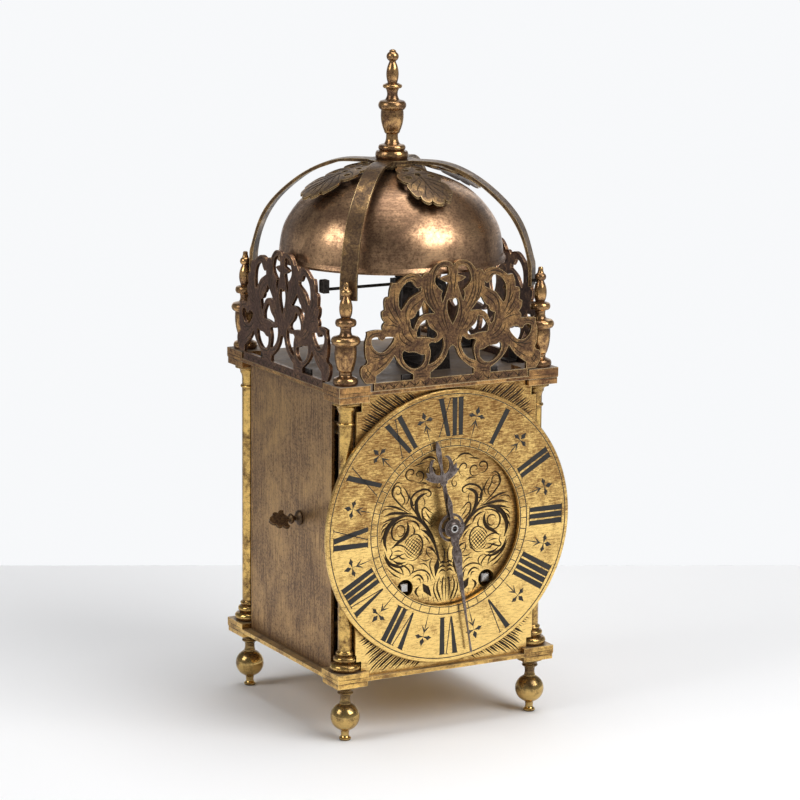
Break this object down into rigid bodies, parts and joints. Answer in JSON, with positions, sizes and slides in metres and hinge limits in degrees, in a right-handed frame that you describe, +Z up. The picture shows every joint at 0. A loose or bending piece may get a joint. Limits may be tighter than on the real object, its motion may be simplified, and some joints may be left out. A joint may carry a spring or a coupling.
{
  "type": "lantern clock",
  "caption": "Free-standing lantern clock: square pillared case with hinged side doors, round dial with two hands, pierced frets, and a bell under a strapped cage struck by a hammer.",
  "frame": {"origin": "on the surface it stands on, under the middle of its bounding box, which is the middle of the square case", "axes": "+Z up, the dial looks along -Y, +X is to the right of someone facing the dial"},
  "size_m": [0.172, 0.157, 0.39],
  "materials": {
    "case_brass": "aged, dull, with brown patina",
    "turned_brass": "turned, rubbed bright on the ridges, brown in the hollows",
    "fret_brass": "cast and engraved, dark brown patina",
    "door_brass": "dull, brushed from top to bottom",
    "dial_brass": "golden, scratched, with dark engraving",
    "bell_bronze": "burnished bronze with brown and grey bands",
    "movement_brass": "satin",
    "hand_steel": "browned, filed",
    "steel": "polished",
    "iron": "forged, blackened"
  },
  "bodies": {
    "case": {"base_plate": "case_brass", "top_plate": "case_brass", "pillar_front_left": "turned_brass", "pillar_front_right": "turned_brass", "pillar_back_left": "turned_brass", "pillar_back_right": "turned_brass", "foot_front_left": "turned_brass", "foot_front_right": "turned_brass", "foot_back_left": "turned_brass", "foot_back_right": "turned_brass", "corner_finial_front_left": "turned_brass", "corner_finial_front_right": "turned_brass", "corner_finial_back_left": "turned_brass", "corner_finial_back_right": "turned_brass", "front_plate": "dial_brass", "chapter_ring": "dial_brass", "front_fret": "fret_brass", "left_fret": "fret_brass", "right_fret": "fret_brass", "bell": "bell_bronze", "bell_cage": "fret_brass", "screws_and_nuts": "iron", "top_finial": "turned_brass", "fret_brackets": "iron", "movement_front_plate": "movement_brass", "movement_back_plate": "movement_brass", "movement_pillars": "movement_brass", "movement_seat": "movement_brass", "pendulum_cock": "movement_brass", "hammer_stand": "iron"},
    "left_door": {"left_door": "door_brass", "left_door_pull": "turned_brass"},
    "right_door": {"right_door": "door_brass", "right_door_pull": "turned_brass"},
    "back_door": {"back_door": "door_brass"},
    "minute_hand": {"minute_hand": "hand_steel", "cannon_pinion": "steel", "hand_collet": "hand_steel"},
    "hour_hand": {"hour_hand": "hand_steel", "hour_wheel": "movement_brass"},
    "minute_wheel": {"minute_wheel": "movement_brass"},
    "going_barrel": {"going_barrel": "movement_brass", "going_mainspring": "steel"},
    "going_winding": {"going_winding_arbor": "steel"},
    "going_click": {"going_click": "steel"},
    "intermediate_wheel": {"intermediate_wheel": "movement_brass"},
    "centre_wheel": {"centre_wheel": "movement_brass"},
    "third_wheel": {"third_wheel": "movement_brass"},
    "escape_wheel": {"escape_wheel": "movement_brass"},
    "pallets": {"pallets": "steel"},
    "pendulum": {"pendulum": "movement_brass"},
    "strike_barrel": {"strike_barrel": "movement_brass", "strike_mainspring": "steel"},
    "strike_winding": {"strike_winding_arbor": "steel"},
    "strike_click": {"strike_click": "steel"},
    "pin_wheel": {"pin_wheel": "movement_brass"},
    "warning_wheel": {"warning_wheel": "movement_brass"},
    "fly": {"fly": "movement_brass"},
    "hammer": {"hammer": "iron"},
    "lifting_rod": {"lifting_rod": "iron"}
  },
  "joints": [
    {"name": "minute_hand_turn", "type": "hinge", "parent": "case", "child": "minute_hand", "pos_m": [0, -0.025, 0.1214], "axis": [0, 1, 0], "continuous": true},
    {"name": "hour_hand_turn", "type": "hinge", "parent": "case", "child": "hour_hand", "pos_m": [0, -0.025, 0.1214], "axis": [0, 1, 0], "continuous": true},
    {"name": "minute_wheel_turn", "type": "hinge", "parent": "case", "child": "minute_wheel", "pos_m": [0, -0.025, 0.1014], "axis": [0, 1, 0], "continuous": true},
    {"name": "third_wheel_turn", "type": "hinge", "parent": "case", "child": "third_wheel", "pos_m": [0.01741, -0.025, 0.1378], "axis": [0, 1, 0], "continuous": true},
    {"name": "centre_wheel_turn", "type": "hinge", "parent": "case", "child": "centre_wheel", "pos_m": [0, -0.025, 0.1214], "axis": [0, 1, 0], "continuous": true},
    {"name": "escape_wheel_turn", "type": "hinge", "parent": "case", "child": "escape_wheel", "pos_m": [0, -0.025, 0.15245], "axis": [0, 1, 0], "continuous": true},
    {"name": "intermediate_wheel_turn", "type": "hinge", "parent": "case", "child": "intermediate_wheel", "pos_m": [0.0241, -0.025, 0.11405], "axis": [0, 1, 0], "continuous": true},
    {"name": "going_barrel_turn", "type": "hinge", "parent": "case", "child": "going_barrel", "pos_m": [0.027, -0.025, 0.0869], "axis": [0, 1, 0], "continuous": true},
    {"name": "warning_wheel_turn", "type": "hinge", "parent": "case", "child": "warning_wheel", "pos_m": [-0.02453, -0.025, 0.13514], "axis": [0, 1, 0], "continuous": true},
    {"name": "pin_wheel_turn", "type": "hinge", "parent": "case", "child": "pin_wheel", "pos_m": [-0.03052, -0.025, 0.11397], "axis": [0, 1, 0], "continuous": true},
    {"name": "strike_barrel_turn", "type": "hinge", "parent": "case", "child": "strike_barrel", "pos_m": [-0.027, -0.025, 0.0869], "axis": [0, 1, 0], "continuous": true},
    {"name": "fly_turn", "type": "hinge", "parent": "case", "child": "fly", "pos_m": [-0.02754, -0.025, 0.15187], "axis": [0, 1, 0], "continuous": true},
    {"name": "going_winding_turn", "type": "hinge", "parent": "case", "child": "going_winding", "pos_m": [0.027, -0.025, 0.0869], "axis": [0, 1, 0], "continuous": true},
    {"name": "strike_winding_turn", "type": "hinge", "parent": "case", "child": "strike_winding", "pos_m": [-0.027, -0.025, 0.0869], "axis": [0, 1, 0], "continuous": true},
    {"name": "going_click_lift", "type": "hinge", "parent": "case", "child": "going_click", "pos_m": [0.0336, -0.055, 0.09833], "axis": [0, -1, 0], "range_deg": [0, 12]},
    {"name": "strike_click_lift", "type": "hinge", "parent": "case", "child": "strike_click", "pos_m": [-0.0336, -0.055, 0.09833], "axis": [0, 1, 0], "range_deg": [0, 12]},
    {"name": "pendulum_swing", "type": "hinge", "parent": "case", "child": "pendulum", "pos_m": [0, 0.014, 0.17144], "axis": [0, 1, 0], "range_deg": [-3, 3]},
    {"name": "pallet_rock", "type": "hinge", "parent": "case", "child": "pallets", "pos_m": [0, -0.023, 0.17144], "axis": [0, 1, 0], "range_deg": [-3, 3]},
    {"name": "hammer_swing", "type": "hinge", "parent": "case", "child": "hammer", "pos_m": [0.015, -0.013, 0.254], "axis": [0, 1, 0], "range_deg": [-8, 3.3], "stiffness_Nm_per_rad": 1},
    {"name": "lifting_rod_slide", "type": "slide", "parent": "case", "child": "lifting_rod", "axis": [0, 0, 1], "range_m": [-0.0014, 0.0006]},
    {"name": "left_door_hinge", "type": "hinge", "parent": "case", "child": "left_door", "pos_m": [-0.0651, 0.0502, 0.1194], "axis": [0, 0, -1], "range_deg": [0, 95]},
    {"name": "right_door_hinge", "type": "hinge", "parent": "case", "child": "right_door", "pos_m": [0.0651, 0.0502, 0.1194], "axis": [0, 0, 1], "range_deg": [0, 95]},
    {"name": "back_door_hinge", "type": "hinge", "parent": "case", "child": "back_door", "pos_m": [0.0502, 0.0651, 0.1194], "axis": [0, 0, -1], "range_deg": [0, 95]}
  ],
  "couplings": [
    {"joint": "hour_hand_turn", "follows": "minute_hand_turn", "ratio": 0.083333},
    {"joint": "minute_wheel_turn", "follows": "minute_hand_turn", "ratio": -0.33333},
    {"joint": "centre_wheel_turn", "follows": "third_wheel_turn", "ratio": -0.083333},
    {"joint": "escape_wheel_turn", "follows": "third_wheel_turn", "ratio": -12},
    {"joint": "intermediate_wheel_turn", "follows": "third_wheel_turn", "ratio": 0.013889},
    {"joint": "going_barrel_turn", "follows": "third_wheel_turn", "ratio": -0.0023148},
    {"joint": "pin_wheel_turn", "follows": "warning_wheel_turn", "ratio": -0.11111},
    {"joint": "strike_barrel_turn", "follows": "warning_wheel_turn", "ratio": 0.018519},
    {"joint": "fly_turn", "follows": "warning_wheel_turn", "ratio": -7.5},
    {"joint": "pallet_rock", "follows": "pendulum_swing", "ratio": 1},
    {"joint": "lifting_rod_slide", "follows": "hammer_swing", "m_per_rad": 0.01}
  ]
}
